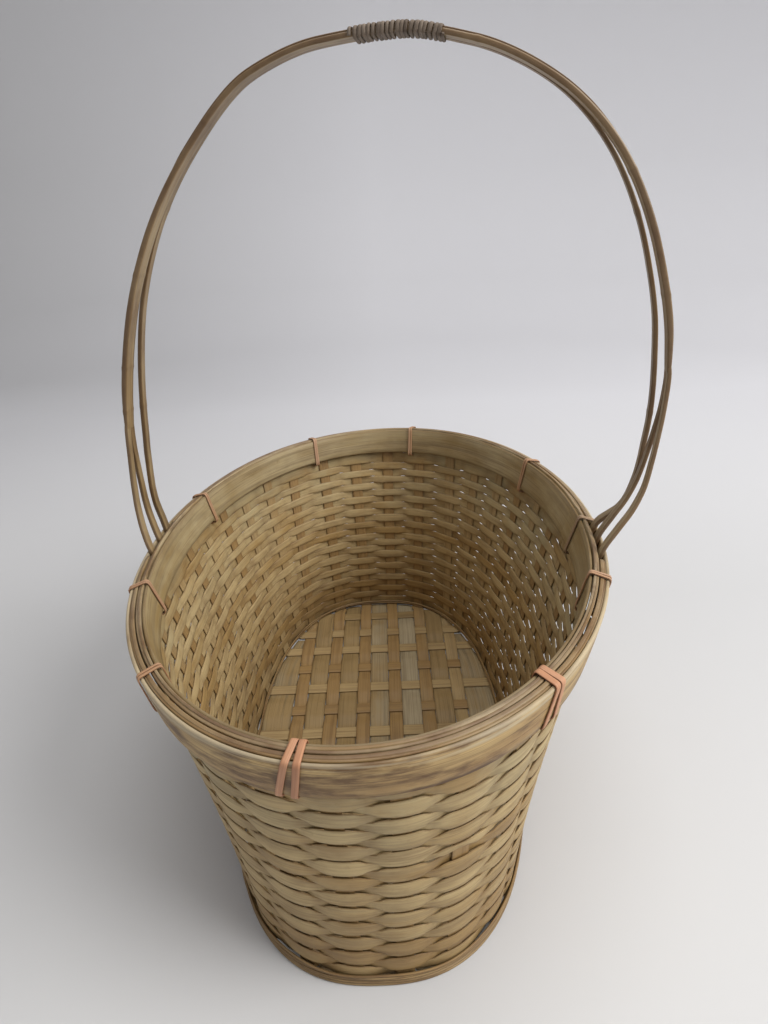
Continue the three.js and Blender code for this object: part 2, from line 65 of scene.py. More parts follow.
# Slow random waves: the length of one, and its height.
STAKE_WAVER, SLAT_WAVER = (160.0, 0.2), (160.0, 0.15)
BEND_REACH, BEND_TOP = 3.2, 0.028
BEND_MIDDLE = (0.9, 2.7)
STAKE_STATIONS = (0.12, 0.35, 0.65)
STAKE_TOP = 0.98

WEAVERS = 12
ROW_PITCH, FIRST_ROW_FOOT = 7.01, 5.2
WEAVER_WIDTH, WEAVER_THICKNESS = 6.8, 0.7
OUTSIDE_SWELL, INSIDE_SWELL = 5.0, 0.7
OUTSIDE_DEPTH, INSIDE_DEPTH = 1.4, 1.2
OUTSIDE_CROWN, INSIDE_CROWN = 0.15, 0.05
SWING_BLUNTNESS = 0.85
# A strip swells once it has swung this far from the wall's middle, and over this much more.
SWELL_FROM, OUTSIDE_SWELL_OVER, INSIDE_SWELL_OVER = 0.2, 0.52, 0.4
# Waves that all rows share: height, number round the wall, phase, and shift up the wall.
DRIFTS = ((0.5, 3, 1, 0), (0.35, 7, 4, 5))
# The last value is how much painted shade a weaver gets where it passes between the stakes.
STAKE_STEP, WEAVER_END, WEAVER_RECESS_SHADE = 30.0, 0.75, 0.6
ROW_WAVER, WIDTH_WAVER, WIDTH_SPREAD = (150.0, 0.12), (90.0, 0.75), 0.3
TOP_ROW_RISE, TOP_ROW_EXTRA, TOP_ROW_COVER = 2.2, 4.6, 0.75
WEAVE_STEPS = 12
# One strip at the front is creased: where and over how many stakes, how much narrower and higher.
CREASED_WEAVER, CREASE_AT, CREASE_REACH = 7, 26.95, 0.4
CREASE_NARROWING, CREASE_RISE = 8.4, 4.2
BASE_SPREAD, SPREAD_FADE = 1.2, 6

OUTER_BAND = {"offset": 5.0, "thickness": 2.2, "foot": 0.876, "top": 1.0}
INNER_BAND = {"offset": -4.9, "thickness": 2.0, "foot": 0.885, "top": 0.996}
FILLER = {"offset": 2.0, "height": 3.2, "middle": 0.994}
FILLER_FRONT, FILLER_BACK = (0.517, 0.936), (-0.0185, 0.4695)
# Each filler is two thin strips: place across the rim, width, height above its middle.
FILLER_SPLITS = {
    "inner": ((-0.78, 1.45, 0.25), (0.75, 1.45, -0.15)),
    "outer": ((-0.5, 2.05, 0.1), (1.08, 0.95, -0.35)),
}
RIM_STEPS, LEAST_STEPS = 300, 8
RIM_AROUND, BAND_WAVER, FILLER_WAVER = 1200.0, (260.0, 0.25), (300.0, 0.3)
BAND_CROWN, BAND_DIRT, FILLER_CROWN, FILLER_DIRT = 0.25, 0.2, 0.1, 0.3

# For each round at the foot: how far out, how high, its width and its height.
ROUNDS = {
    "foot_round_lower": (2.5, 1.15, 3.4, 2.2),
    "foot_round_upper": (2.6, 3.2, 3.2, 1.7),
}
# Thin strands beside each round: height, distance out, sway, and phase.
STRANDS = {
    "foot_round_lower": [(4.9, -3.2, 0.0, 0.0), (6.3, -3.1, 0.3, 1.0)],
    "foot_round_upper": [(5.0, 3.0, 0.2, 0.0), (6.6, 3.0, 0.25, 2.0), (8.1, 3.0, 0.25, 4.0)],
}
ROUND_STEPS, ROUND_DIRT, ROUND_LEVEL = 340, 0.4, 0.01
STRAND_STEPS, STRAND_SIZE, STRAND_DIRT = 1020, 1.5, 0.5
FOOT_AROUND, STRAND_WAVER = 1000.0, (140.0, 0.25)

# For each lashing: the gap between stakes, the slide along the rim, and the turns.
LASHINGS = {
    "back_left": (10, -9, 1), "back_right": (7, -9, 1), "right_back": (2, 9, 1),
    "handle_right": (33, -4.5, 1), "right": (31, -9, 1), "front_right": (28, -4, 2),
    "front": (24, 6.5, 2), "front_left": (21, 3, 1), "left": (18, 9, 1), "left_back": (14, 3.7, 1),
}
LASHING_INNER, LASHING_OUTER = -6.7, 6.9
LASHING_TOP, LASHING_FOOT = 1.0065, 0.8717
LASHING_WIDTH, LASHING_THICKNESS, LASHING_STEP = 4.2, 0.7, 5.4
LASHING_MIDDLE, LASHING_STEPS, LASHING_ROUNDING = 0.94, 12, 2
LASHING_CROWN, LASHING_DIRT, LASHING_LEAN = 0.15, 0.3, (0.2, 0.5)
RIBBON_WIDTH, STRAND_WIDTH = 0.86, 0.44
LASHING_SPLAY = 2.4
# Two lashings are tied differently: step between turns, splay and lean of their outer feet.
LASHING_TIES = {"front": (5.0, 2.0, -6.5), "front_right": (3.9, 5.5, -2.0)}

HANDLE_Y, HANDLE_SLOPE = -16.5, -0.18
BOW_WIDTH, BOW_THICKNESS, BOW_OFFSET = 10.0, 3.4, 5.3
BACK_BOW_WIDTH, BACK_BOW_THICKNESS = 5.2, 2.8
LEG_THICKNESS, SPLIT_WIDTH, LEG_FLARE = 2.3, 4.8, 2.8
SPLIT_OFFSET, LEG_CHANNEL = 2.55, 2.05
LEG_HEIGHTS = (0.885, 0.94, 1.005)
FRONT_SPINE = [
    (-163, 262), (-157.5, 300), (-144, 350), (-121, 400), (-88, 444), (-46, 479), (-8, 490),
    (32, 492.5), (70, 485.5), (112, 465.5), (147, 430), (168.5, 384), (180, 337), (183, 300),
]
BACK_SPINE = [
    (-157, 255, 8.6), (-151.5, 300, 8.6), (-140.5, 350, 7.1), (-119.5, 400, 4.6), (-87.5, 444, 2.9),
    (-46, 479, 2.9), (-8, 490, 2.9), (32, 492.5, 2.9), (70, 485.5, 2.9), (112, 465.5, 2.9),
    (145, 430, 3.6), (166, 384, 5.6), (177, 337, 7.1), (180, 294, 7.6), (177, 255, 6.6),
]
LEGS = {
    "front_left": (-1, -10, (-165, 228, -11)), "rear_left": (-1, 9, (-163, 228, 0)),
    "back_left": (-1, 25, (-158, 226, 6.6)), "front_right": (1, -66, (174, 248, -14)),
    "rear_right": (1, -46, (174, 248, -1)), "back_right": (1, -31, (171, 230, 6.6)),
}
SPLINT_RUN, SPLINT_WIDTH, SPLINT_THICKNESS, SPLINT_RISE = (15 / 56, 44 / 56), 8.4, 0.85, 1.35
CORD_FROM, CORD_TURNS, CORD_PITCH = 8.5, 20, 2.4
CORD_LOOP = np.array([(-11.0, -0.9), (-11.0, 1.8), (-9.8, 2.95), (5.2, 2.95),
                      (6.2, 1.8), (6.2, -0.9), (5.2, -1.95), (-9.8, -1.95)])
CORD_WIDTH, CORD_THICKNESS = 2.1, 1.1
CORD_STEP, CORD_ROUNDING, CORD_DIRT = 0.25, 2, 0.5
CORD_WAVER, CORD_WIDTH_WAVER, CORD_THICKNESS_WAVER = (19.0, 0.3), (27.0, 0.3), (13.0, 0.15)

# ---- Camera, in millimetres and degrees ----
CAMERA_AT = (17.99, -434.37, 414.93)
CAMERA_YAW, CAMERA_PITCH, CAMERA_ROLL = 0.677, 25.27, -2.856
CAMERA_LENS = 23.24

X_AXIS, Y_AXIS, Z_AXIS = np.eye(3)


def unit(v):
    v = np.asarray(v, float)
    return v / np.maximum(np.linalg.norm(v, axis=-1, keepdims=True), 1e-9)


# ---- Wall surface ----

def mix(a, b, k):
    return a + (b - a) * k


def ease(k):
    """A smooth step from 0 to 1."""
    k = np.clip(k, 0, 1)
    return k * k * (3 - 2 * k)


def make_outline(t):
    sag = 4 * t * (1 - t)
    half = [mix(FLOOR_HALF[i], RIM_HALF[i], t) - WALL_HOLLOW[i] * sag for i in (0, 1)]
    power = 2 / mix(FLOOR_SQUARENESS, RIM_SQUARENESS, t)
    angle = np.linspace(0, 2 * np.pi, OUTLINE_STEPS + 1)
    cos, sin = np.cos(angle), np.sin(angle)
    points = np.stack([half[0] * np.sign(cos) * np.abs(cos) ** power,
                       half[1] * np.sign(sin) * np.abs(sin) ** power], 1)
    run = np.concatenate([[0], np.cumsum(np.linalg.norm(np.diff(points, axis=0), axis=1))])
    return points, run / run[-1]


RIM_LENGTH = float(np.linalg.norm(np.diff(make_outline(1.0)[0], axis=0), axis=1).sum())
TABLE_LOW, TABLE_HIGH, TABLE_ROWS, TABLE_COLUMNS = -0.03, 1.05, 109, 2160


def wall_table():
    heights = np.linspace(TABLE_LOW, TABLE_HIGH, TABLE_ROWS)
    around = np.arange(TABLE_COLUMNS + 1) / TABLE_COLUMNS
    rows = []
    for t in heights:
        points, run = make_outline(t)
        x, y = (np.interp(around, run, points[:, i]) for i in (0, 1))
        rows.append(np.stack([x, y, t * (RIM_HEIGHT + RIM_CLIMB * x)], 1))
    return np.array(rows)


TABLE = wall_table()


def wall_point(t, u):
    """Points of the wall's middle surface; u is the fraction of the way round from +X."""
    t, u = np.broadcast_arrays(np.asarray(t, float), np.asarray(u, float))
    share = (t - TABLE_LOW) / (TABLE_HIGH - TABLE_LOW)
    row = np.clip(share * (TABLE_ROWS - 1), 0, TABLE_ROWS - 1.001)
    column = (u - np.floor(u)) * TABLE_COLUMNS
    i, j = row.astype(int), np.minimum(column.astype(int), TABLE_COLUMNS - 1)
    a, b = (row - i)[..., None], (column - j)[..., None]
    low = mix(TABLE[i, j], TABLE[i, j + 1], b)
    return mix(low, mix(TABLE[i + 1, j], TABLE[i + 1, j + 1], b), a)


def wall_frame(t, u):
    along = unit(wall_point(t, u + NUDGE) - wall_point(t, u - NUDGE))
    rise = unit(wall_point(t + 0.01, u) - wall_point(t - 0.01, u))
    out = unit(np.cross(along, rise))
    return along, out, np.cross(out, along)


def off_wall(t, u, distance):
    return wall_point(t, u) + wall_frame(t, u)[1] * np.asarray(distance)[..., None]


def find_u(t, axis, value, sign):
    points, run = make_outline(t)
    for i in range(OUTLINE_STEPS):
        a, b = points[i], points[i + 1]
        if (a[1 - axis] + b[1 - axis]) * sign > 0 and (a[axis] - value) * (b[axis] - value) <= 0:
            return mix(run[i], run[i + 1], (value - a[axis]) / (b[axis] - a[axis]))
    raise ValueError("the outline never reaches that value")


def stake_feet():
    right = [find_u(0, 1, row * GRID, 1) for row in STAKE_ROWS]
    left = [find_u(0, 1, row * GRID, -1) for row in STAKE_ROWS]
    back = [find_u(0, 0, column * GRID, 1) for column in STAKE_COLUMNS]
    front = [find_u(0, 0, column * GRID, -1) for column in STAKE_COLUMNS]
    ahead = len(right) // 2
    feet = np.array(right[ahead:] + back[::-1] + left[::-1] + front + right[:ahead])
    return np.where(feet > 0.999999, 0.0, feet)


FEET = stake_feet()
STAKES = len(FEET)


def stake_u(index, t):
    """u of a stake; a fractional index lies between two stakes."""
    index = np.asarray(index, float)
    low = np.floor(index).astype(int)
    feet = [FEET[i % STAKES] + i // STAKES for i in (low, low + 1)]
    foot = mix(feet[0], feet[1], index - low)
    return mix(foot, index / STAKES, t)


# ---- Strips ----

PROFILE = np.array([(-0.94, 1), (-0.5, 1), (0, 1), (0.5, 1), (0.94, 1), (1, 0.5), (1, -0.5),
                    (0.94, -1), (0.5, -1), (0, -1), (-0.5, -1), (-0.94, -1), (-1, -0.5), (-1, 0.5)])
ROUND = np.stack([np.cos(np.linspace(0, 2 * np.pi, 12, endpoint=False)),
                  np.sin(np.linspace(0, 2 * np.pi, 12, endpoint=False))], 1)


def wander(length, scale, amount):
    """A smooth seeded random curve over the given distances."""
    waves = [(RNG.uniform(0.5, 2.0), RNG.uniform(0, 2 * np.pi)) for _ in range(5)]
    return amount * sum(np.sin(length / scale * 2 * np.pi * f + p) for f, p in waves) / 2.2


class Strips:
    """Collects swept strips into one mesh, with how far along, how far across, tone, and a mask of dirt
    and painted shade.
    """

    def __init__(self):
        self.points, self.faces, self.uvs = [], [], []
        self.tones, self.dirt, self.edges = [], [], []
        self.count = 0

    def add(self, centre, across, normal, width, thickness, crown=0.0, closed=False,
            profile=PROFILE, dirt=0.0):
        n, m = len(centre), len(profile)
        width, thickness, crown, dirt = (
            np.broadcast_to(np.asarray(v, float), (n,)) for v in (width, thickness, crown, dirt))
        a, b = profile[:, 0], profile[:, 1]
        side = a[None] * width[:, None] / 2
        lift = b[None] * thickness[:, None] / 2 + crown[:, None] * (1 - a[None] ** 2)
        points = (centre[:, None] + across[:, None] * side[..., None]
                  + normal[:, None] * lift[..., None])
        steps = np.linalg.norm(np.diff(centre, axis=0), axis=1)
        run = np.concatenate([[0], np.cumsum(steps)])
        if closed:
            run = np.append(run, run[-1] + np.linalg.norm(centre[0] - centre[-1]))
        flip = self._turn(points)
        for i in range(n if closed else n - 1):
            j = (i + 1) % n
            for k in range(m):
                q = (k + 1) % m
                quad = [i * m + k, i * m + q, j * m + q, j * m + k]
                uv = [(run[i], side[i, k]), (run[i], side[i, q]),
                      (run[i + 1], side[j, q]), (run[i + 1], side[j, k])]
                self._face(quad, uv, flip)
        if not closed:
            for i, turn in ((0, not flip), (n - 1, flip)):
                corners = [i * m + k for k in range(m)]
                self._face(corners, [(run[i], side[i, k]) for k in range(m)], turn)
        self.points.append(points.reshape(-1, 3))
        self.tones.append(np.full(n * m, RNG.random()))
        self.dirt.append(np.repeat(dirt, m))
        self.edges.append(np.tile(a, n))
        self.count += n * m

    @staticmethod
    def _turn(points):
        first, second = points[0], points[1]
        area = sum(np.cross(first[k] - first.mean(0), first[(k + 1) % len(first)] - first.mean(0))
                   for k in range(len(first)))
        return np.dot(area, second.mean(0) - first.mean(0)) > 0

    def _face(self, corners, uv, flip):
        order = range(len(corners)) if flip else range(len(corners) - 1, -1, -1)
        self.faces.append([corners[k] + self.count for k in order])
        self.uvs.extend(uv[k] for k in order)

    def make(self, name, material, slot, *nodes):
        mesh = bpy.data.meshes.new(name)
        mesh.from_pydata((np.concatenate(self.points) * MM).tolist(), [], self.faces)
        layer = mesh.uv_layers.new(name="Strip")
        layer.data.foreach_set("uv", np.array(self.uvs, np.float32).ravel() * MM)
        for label, values in (("tone", self.tones), ("dirt", self.dirt), ("edge", self.edges)):
            attribute = mesh.attributes.new(label, "FLOAT", "POINT")
            attribute.data.foreach_set("value", np.concatenate(values).astype(np.float32))
        mesh.polygons.foreach_set("use_smooth", [True] * len(mesh.polygons))
        mesh.materials.append(material)
        mesh.validate()
        piece = bpy.data.objects.new(name, mesh)
        bpy.context.scene.collection.objects.link(piece)
        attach(piece, "root")
        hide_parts(*nodes)
        return piece


def slopes(values, knots):
    """Slopes that never carry a path past its own knots: the harmonic mean, or none at a turn."""
    gaps = np.diff(knots)[:, None]
    steps = np.diff(values, axis=0) / gaps
    before, after = steps[:-1], steps[1:]
    low, high = 2 * gaps[1:] + gaps[:-1], gaps[1:] + 2 * gaps[:-1]
    same = before * after > 1e-12
    safe = [np.where(same, v, 1.0) for v in (before, after)]
    inner = np.where(same, (low + high) / (low / safe[0] + high / safe[1]), 0.0)
    return np.concatenate([steps[:1], inner, steps[-1:]])


def smooth_path(values, knots, at):
    """A cubic through the knots, for rows of any width."""
    values = np.asarray(values, float)
    slope = slopes(values, knots)
    i = np.clip(np.searchsorted(knots, at, side="right") - 1, 0, len(knots) - 2)
    h = (knots[i + 1] - knots[i])[:, None]
    s = ((at - knots[i]) / h[:, 0])[:, None]
    return ((2 * s**3 - 3 * s**2 + 1) * values[i] + (s**3 - 2 * s**2 + s) * h * slope[i]
            + (3 * s**2 - 2 * s**3) * values[i + 1] + (s**3 - s**2) * h * slope[i + 1])


def refine(stations, step=2.5):
    """Closer stations along a smooth path; each station is (centre, across, normal)."""
    centre, across, normal = (np.array([s[k] for s in stations], float) for k in range(3))
    knots = np.concatenate([[0], np.cumsum(np.linalg.norm(np.diff(centre, axis=0), axis=1))])
    at = np.linspace(0, knots[-1], max(3, int(knots[-1] / step)))
    centre = smooth_path(centre, knots, at)
    across = unit(smooth_path(across, knots, at))
    tangent = unit(np.gradient(centre, axis=0))
    across = unit(across - tangent * np.sum(across * tangent, 1)[:, None])
    guess = smooth_path(normal, knots, at)
    normal = np.cross(tangent, across)
    normal *= np.sign(np.sum(normal * guess, 1))[:, None]
    return centre, across, normal, at


# ---- Materials ----

def srgb(code):
    parts = [((code >> shift) & 255) / 255 for shift in (16, 8, 0)]
    return [((c + 0.055) / 1.055) ** 2.4 if c > 0.04045 else c / 12.92 for c in parts] + [1.0]


class Graph:
    """Short helpers for a material's node tree."""

    def __init__(self, name):
        self.material = bpy.data.materials.new(name)
        self.material.use_nodes = True
        self.tree = self.material.node_tree
        self.shader = self.tree.nodes["Principled BSDF"]

    def node(self, kind, **values):
        made = self.tree.nodes.new(kind)
        for key, value in values.items():
            setattr(made, key, value)
        return made

    def set(self, socket, value):
        if isinstance(value, bpy.types.NodeSocket):
            self.tree.links.new(value, socket)
        else:
            socket.default_value = value

    def math(self, operation, a, b=0.0, clamp=False):
        made = self.node("ShaderNodeMath", operation=operation, use_clamp=clamp)
        self.set(made.inputs[0], a)
        self.set(made.inputs[1], b)
        return made.outputs[0]

    def scaled(self, value, amount):
        return self.math("MULTIPLY", value, amount)

    def about_middle(self, value, amount):
        """How far the value is from a half, scaled."""
        return self.scaled(self.math("SUBTRACT", value, 0.5), amount)

    def attribute(self, name):
        return self.node("ShaderNodeAttribute", attribute_name=name).outputs["Fac"]

    def noise(self, vector, scale, detail=3.0, roughness=0.55):
        made = self.node("ShaderNodeTexNoise")
        self.set(made.inputs["Vector"], vector)
        for key, value in (("Scale", scale), ("Detail", detail), ("Roughness", roughness)):
            made.inputs[key].default_value = value
        return made.outputs["Fac"]

    def strip_vector(self, along, across):
        """Distance along and across the strip, scaled, shifted by the strip's own tone."""
        uv = self.node("ShaderNodeUVMap", uv_map="Strip").outputs["UV"]
        parts = self.node("ShaderNodeSeparateXYZ")
        self.set(parts.inputs[0], uv)
        joined = self.node("ShaderNodeCombineXYZ")
        self.set(joined.inputs[0], self.math("MULTIPLY", parts.outputs[0], along))
        self.set(joined.inputs[1], self.math("MULTIPLY", parts.outputs[1], across))
        self.set(joined.inputs[2], self.scaled(self.attribute("tone"), TONE_SHIFT))
        return joined.outputs[0]

    def ramp(self, value, low, high):
        made = self.node("ShaderNodeMapRange", clamp=True)
        self.set(made.inputs["Value"], value)
        made.inputs["From Min"].default_value = low
        made.inputs["From Max"].default_value = high
        return made.outputs["Result"]

    def tint(self, colour, mask, share, code):
        """The colour with another one blended in where the mask is high."""
        return self.blend(self.scaled(mask, share), colour, srgb(code))

    def blend(self, factor, a, b):
        made = self.node("ShaderNodeMix", data_type="RGBA")
        self.set(made.inputs["Factor"], factor)
        self.set(made.inputs[6], a)
        self.set(made.inputs[7], b)
        return made.outputs[2]


# The grain, in cycles a metre along and across the strip, and noise scales over the basket.
FIBRE, STREAK, LENGTHS, BROAD = (18.0, 1500.0), (9.0, 350.0), (16.0, 40.0), (24.0, 95.0)
PATCH_SCALE, SPECK_SCALE, TONE_SHIFT = 26.0, 160.0, 37.0
# Shares in the cover of whitewash, and the ranges over which each layer of colour sets in.
STREAK_SHARE, PATCH_SHARE, LENGTH_SHARE = 0.6, 0.6, 0.7
COVER_RANGE, LINE_RANGE, BROAD_RANGE = (0.42, 0.78), (0.5, 0.66), (0.46, 0.62)
HIGH_RANGE, HIGH_PATCHES, LOW_RANGE, LOW_SHARE = (0.11, 0.175), (0.35, 0.65), (0.0, 0.09), 0.5
# The blots, with painted shade: the share of each mask and the range over which the brown sets in.
BLOT_AND_SHADE_SHARE, BLOT_AND_SHADE_RANGE = 0.55, (0.42, 0.95)
SPECK_RANGE, SPECK_STRENGTH, EDGE_RANGE = (0.66, 0.8), 0.3, (0.82, 1.0)
RAGGEDNESS, PALE_TOP_RANGE = 2.2, (0.6, 1.05)
ROUGH_SHARE, ROUGH_MIDDLE = 0.25, 0.14
FIBRE_RELIEF, STREAK_RELIEF, RELIEF_DEPTH = 0.6, 0.5, 0.0004


def weather(g, colour, place, patch, brown, amount):
    """Greyer high on the wall, in patches, and browner near the floor."""
    parts = g.node("ShaderNodeSeparateXYZ")
    g.set(parts.inputs[0], place)
    high = g.math("MULTIPLY", g.ramp(parts.outputs[2], *HIGH_RANGE), g.ramp(patch, *HIGH_PATCHES))
    colour = g.tint(colour, high, amount, GREY_WASH)
    low = g.math("SUBTRACT", 1.0, g.ramp(parts.outputs[2], *LOW_RANGE))
    return g.tint(colour, low, amount * LOW_SHARE, brown)


def bamboo(name, wash, bare, brown, stain_and_shade=0.5, washed=0.6, roughness=0.62, bump=0.25,
           variety=0.3, grain=0.22, patches=0.0, pale_top=0.0, weathered=0.0, edging=0.45):
    """Split bamboo: long fibres, rubbed whitewash, per-strip tone, brown blots in patches, and brown
    painted shade in the recesses.
    """
    g = Graph(name)
    place = g.node("ShaderNodeTexCoord").outputs["Object"]
    fibre = g.noise(g.strip_vector(*FIBRE), 1.0, 4.0)
    streak = g.noise(g.strip_vector(*STREAK), 1.0, 3.0)
    length = g.noise(g.strip_vector(*LENGTHS), 1.0, 2.0)
    patch = g.noise(place, PATCH_SCALE, 4.0)
    speck = g.noise(place, SPECK_SCALE, 3.0)
    tone, dirt, edge = (g.attribute(label) for label in ("tone", "dirt", "edge"))

    cover = g.math("ADD", g.scaled(streak, STREAK_SHARE), g.scaled(patch, PATCH_SHARE))
    cover = g.math("ADD", cover, g.about_middle(tone, variety))
    cover = g.math("ADD", cover, g.about_middle(length, LENGTH_SHARE))
    colour = g.tint(srgb(bare), g.ramp(cover, *COVER_RANGE), washed, wash)
    for lines in (fibre, streak):
        colour = g.tint(colour, g.ramp(lines, *LINE_RANGE), grain, brown)
    if patches:
        broad = g.noise(g.strip_vector(*BROAD), 1.0, 5.0, 0.65)
        colour = g.tint(colour, g.ramp(broad, *BROAD_RANGE), patches, brown)
    if weathered:
        colour = weather(g, colour, place, patch, brown, weathered)
    # Brown blots in patches, plus painted shade where the strip's dirt-and-shade mask is high: the
    # weavers' recesses.
    blots_and_shade = g.math("ADD", g.scaled(dirt, BLOT_AND_SHADE_SHARE), g.scaled(patch, BLOT_AND_SHADE_SHARE))
    colour = g.tint(colour, g.ramp(blots_and_shade, *BLOT_AND_SHADE_RANGE), stain_and_shade, brown)
    colour = g.tint(colour, g.ramp(speck, *SPECK_RANGE), SPECK_STRENGTH, brown)
    worn = g.ramp(g.math("ABSOLUTE", edge), *EDGE_RANGE)
    colour = g.tint(colour, worn, edging, brown)
    if pale_top:
        ragged = g.math("ADD", edge, g.about_middle(streak, RAGGEDNESS))
        colour = g.tint(colour, g.ramp(ragged, *PALE_TOP_RANGE), pale_top, PALE_WASH)
    g.set(g.shader.inputs["Base Color"], colour)
    rough = g.math("ADD", g.scaled(cover, ROUGH_SHARE), roughness - ROUGH_MIDDLE)
    g.set(g.shader.inputs["Roughness"], rough)

    raised = g.node("ShaderNodeBump")
    raised.inputs["Strength"].default_value = bump
    raised.inputs["Distance"].default_value = RELIEF_DEPTH
    relief = g.math("ADD", g.scaled(fibre, FIBRE_RELIEF), g.scaled(streak, STREAK_RELIEF))
    g.set(raised.inputs["Height"], relief)
    g.set(g.shader.inputs["Normal"], raised.outputs["Normal"])
    return g.material


PALE_WASH, GREY_WASH = 0xD3C6A8, 0xA5A080
WEAVER_LOOK = bamboo("weaver_bamboo", 0xC4AF82, 0xA38655, 0x614424, 0.6, 0.65, variety=0.5,
                     grain=0.3, patches=0.34, weathered=0.5)
STAKE_LOOK = bamboo("stake_bamboo", 0xBBA578, 0x997B4E, 0x5A3F22, 0.6, 0.55, variety=0.8,
                    grain=0.34, edging=0.25)
BASE_LOOK = bamboo("base_bamboo", 0xA99C80, 0x987F55, 0x54401F, 0.55, 0.8, variety=1.0,
                   grain=0.4, edging=0.25)
BAND_LOOK = bamboo("band_bamboo", 0xC4A872, 0x8F6B38, 0x53330F, 0.45, 0.9, 0.5, variety=0.3,
                   grain=0.46, patches=0.85, pale_top=0.5)
INNER_BAND_LOOK = bamboo("inner_band_bamboo", 0xB5A682, 0x947D52, 0x5B4223, 0.5, 0.75, 0.5,
                         grain=0.4, patches=0.25)
RIM_LOOK = bamboo("rim_bamboo", 0xCCBD9A, 0x9C8054, 0x5D4029, 0.6, 0.85, 0.5,
                  grain=0.36, patches=0.6)
HANDLE_LOOK = bamboo("handle_bamboo", 0xBEAC88, 0x977E58, 0x54391F, 0.6, 0.6, 0.45,
                     grain=0.36, patches=0.5, edging=0.7)
LASHING_LOOK = bamboo("lashing_strip", 0xD2A483, 0xB57F59, 0x7C4A30, 0.4, 0.6, 0.6,
                      grain=0.3, patches=0.2)
SINGLE_LASHING_LOOK = bamboo("lashing_thin", 0xCBA88B, 0xAC8562, 0x74492F, 0.4, 0.6, 0.6,
                             grain=0.3)
WORN_LASHING_LOOK = bamboo("lashing_worn", 0xB39A7C, 0x94775A, 0x5A4230, 0.35, 0.6, 0.6)
CORD_LOOK = bamboo("wrap_cord", 0xA89B8C, 0x7A6C5E, 0x3F3125, 0.5, 0.7, 0.8, 0.6,
                   grain=0.35, patches=0.7)
ROUND_LOOK = bamboo("foot_cane", 0xBBA477, 0x94774B, 0x4E331E, 0.5, 0.55, 0.6,
                    grain=0.35, patches=0.45)


# ---- Base and stakes ----

def flat_station(x, y, z, across):
    return (np.array([x, y, z]), across, Z_AXIS)


def floor_reach(distance):
    """How far the oval of the base reaches to the front and back, this far from its middle."""
    room = 1 - (distance / FLOOR_HALF[0]) ** FLOOR_SQUARENESS
    return FLOOR_HALF[1] * room ** (1 / FLOOR_SQUARENESS)


def woven_run(column, width, reach):
    x = column * GRID
    wide = float(column).is_integer()
    run = []
    for row in range(-LAST_ROW, LAST_ROW + 1):
        if abs(row) * GRID + CROSSING_HALF > reach:
            continue
        if abs(row) == LAST_ROW and abs(x) + width / 2 > SHORT_SLAT_HALF:
            continue
        level = LEVEL_LOW if (row % 2 == 0) == wide else LEVEL_HIGH
        run += [flat_station(x, row * GRID + s * CROSSING_HALF, level, X_AXIS) for s in (-1, 1)]
    return run


def stake_run(index, sheet_across):
    foot_u = stake_u(index, BEND_TOP)
    foot = wall_point(BEND_TOP, foot_u)
    along, out, _ = wall_frame(BEND_TOP, foot_u)
    turn = np.sign(np.dot(along, sheet_across))
    across = unit(along * (1, 1, 0)) * turn
    inward = -unit(out * (1, 1, 0))

    def flat(reach, z):
        return (foot + inward * reach) * (1, 1, 0) + Z_AXIS * z

    stations = [(flat(BEND_REACH, LEVEL_CROSS), across, Z_AXIS),
                (flat(*BEND_MIDDLE), across, unit(Z_AXIS + inward))]
    for t in (BEND_TOP, *STAKE_STATIONS, STAKE_TOP):
        u = stake_u(index, t)
        along, out, _ = wall_frame(t, u)
        stations.append((wall_point(t, u), along * turn, -out))
    return stations


def make_strip(name, stations, width, look, slot):
    """A base strip or stake: spread where it lies flat in the base, narrower up the wall."""
    centre, across, normal, run = refine(stations)
    strips = Strips()
    flat = np.clip((LEVEL_HIGH + SPREAD_FADE - centre[:, 2]) / SPREAD_FADE, 0, 1)
    widths = width + BASE_SPREAD * flat + wander(run, *STAKE_WAVER)
    # A stake that rolls as it turns up still rests on the floor by its lower edge.
    reach = np.abs(across[:, 2]) * widths / 2 + np.abs(normal[:, 2]) * SPLINT / 2
    centre[:, 2] += np.clip(FLOOR_CLEARANCE + reach - centre[:, 2], 0, None)
    strips.add(centre, across, normal, widths, STRIP_THICKNESS, STRIP_CROWN, dirt=BASE_DIRT)
    strips.make("fine_" + name, look, slot, name)


def make_wide_slat(name, column, stations):
    """A wide slat, cut to the oval of the base along its outer edge."""
    centre, across, normal, run = refine(stations)
    power = FLOOR_SQUARENESS
    room = np.clip(1 - (np.abs(centre[:, 1]) / FLOOR_HALF[1]) ** power, 0, 1) ** (1 / power)
    limit = FLOOR_HALF[0] * room - SLAT_EDGE_GAP
    half = (WIDE_SLAT + BASE_SPREAD) / 2 + wander(run, *SLAT_WAVER)
    spread = OUTER_SLAT_SPREAD if abs(column) == max(WIDE_SLAT_COLUMNS) else 0.0
    inner = abs(column) * GRID - half
    outer = np.maximum(np.minimum(abs(column) * GRID + half + spread, limit), inner + LEAST_SLAT)
    centre[:, 0] = (np.sign(column) * (inner + outer) / 2) if column else 0.0
    strips = Strips()
    strips.add(centre, across, normal, outer - inner, STRIP_THICKNESS, STRIP_CROWN, dirt=BASE_DIRT)
    strips.make("fine_" + name, BASE_LOOK, "base_bamboo", name)


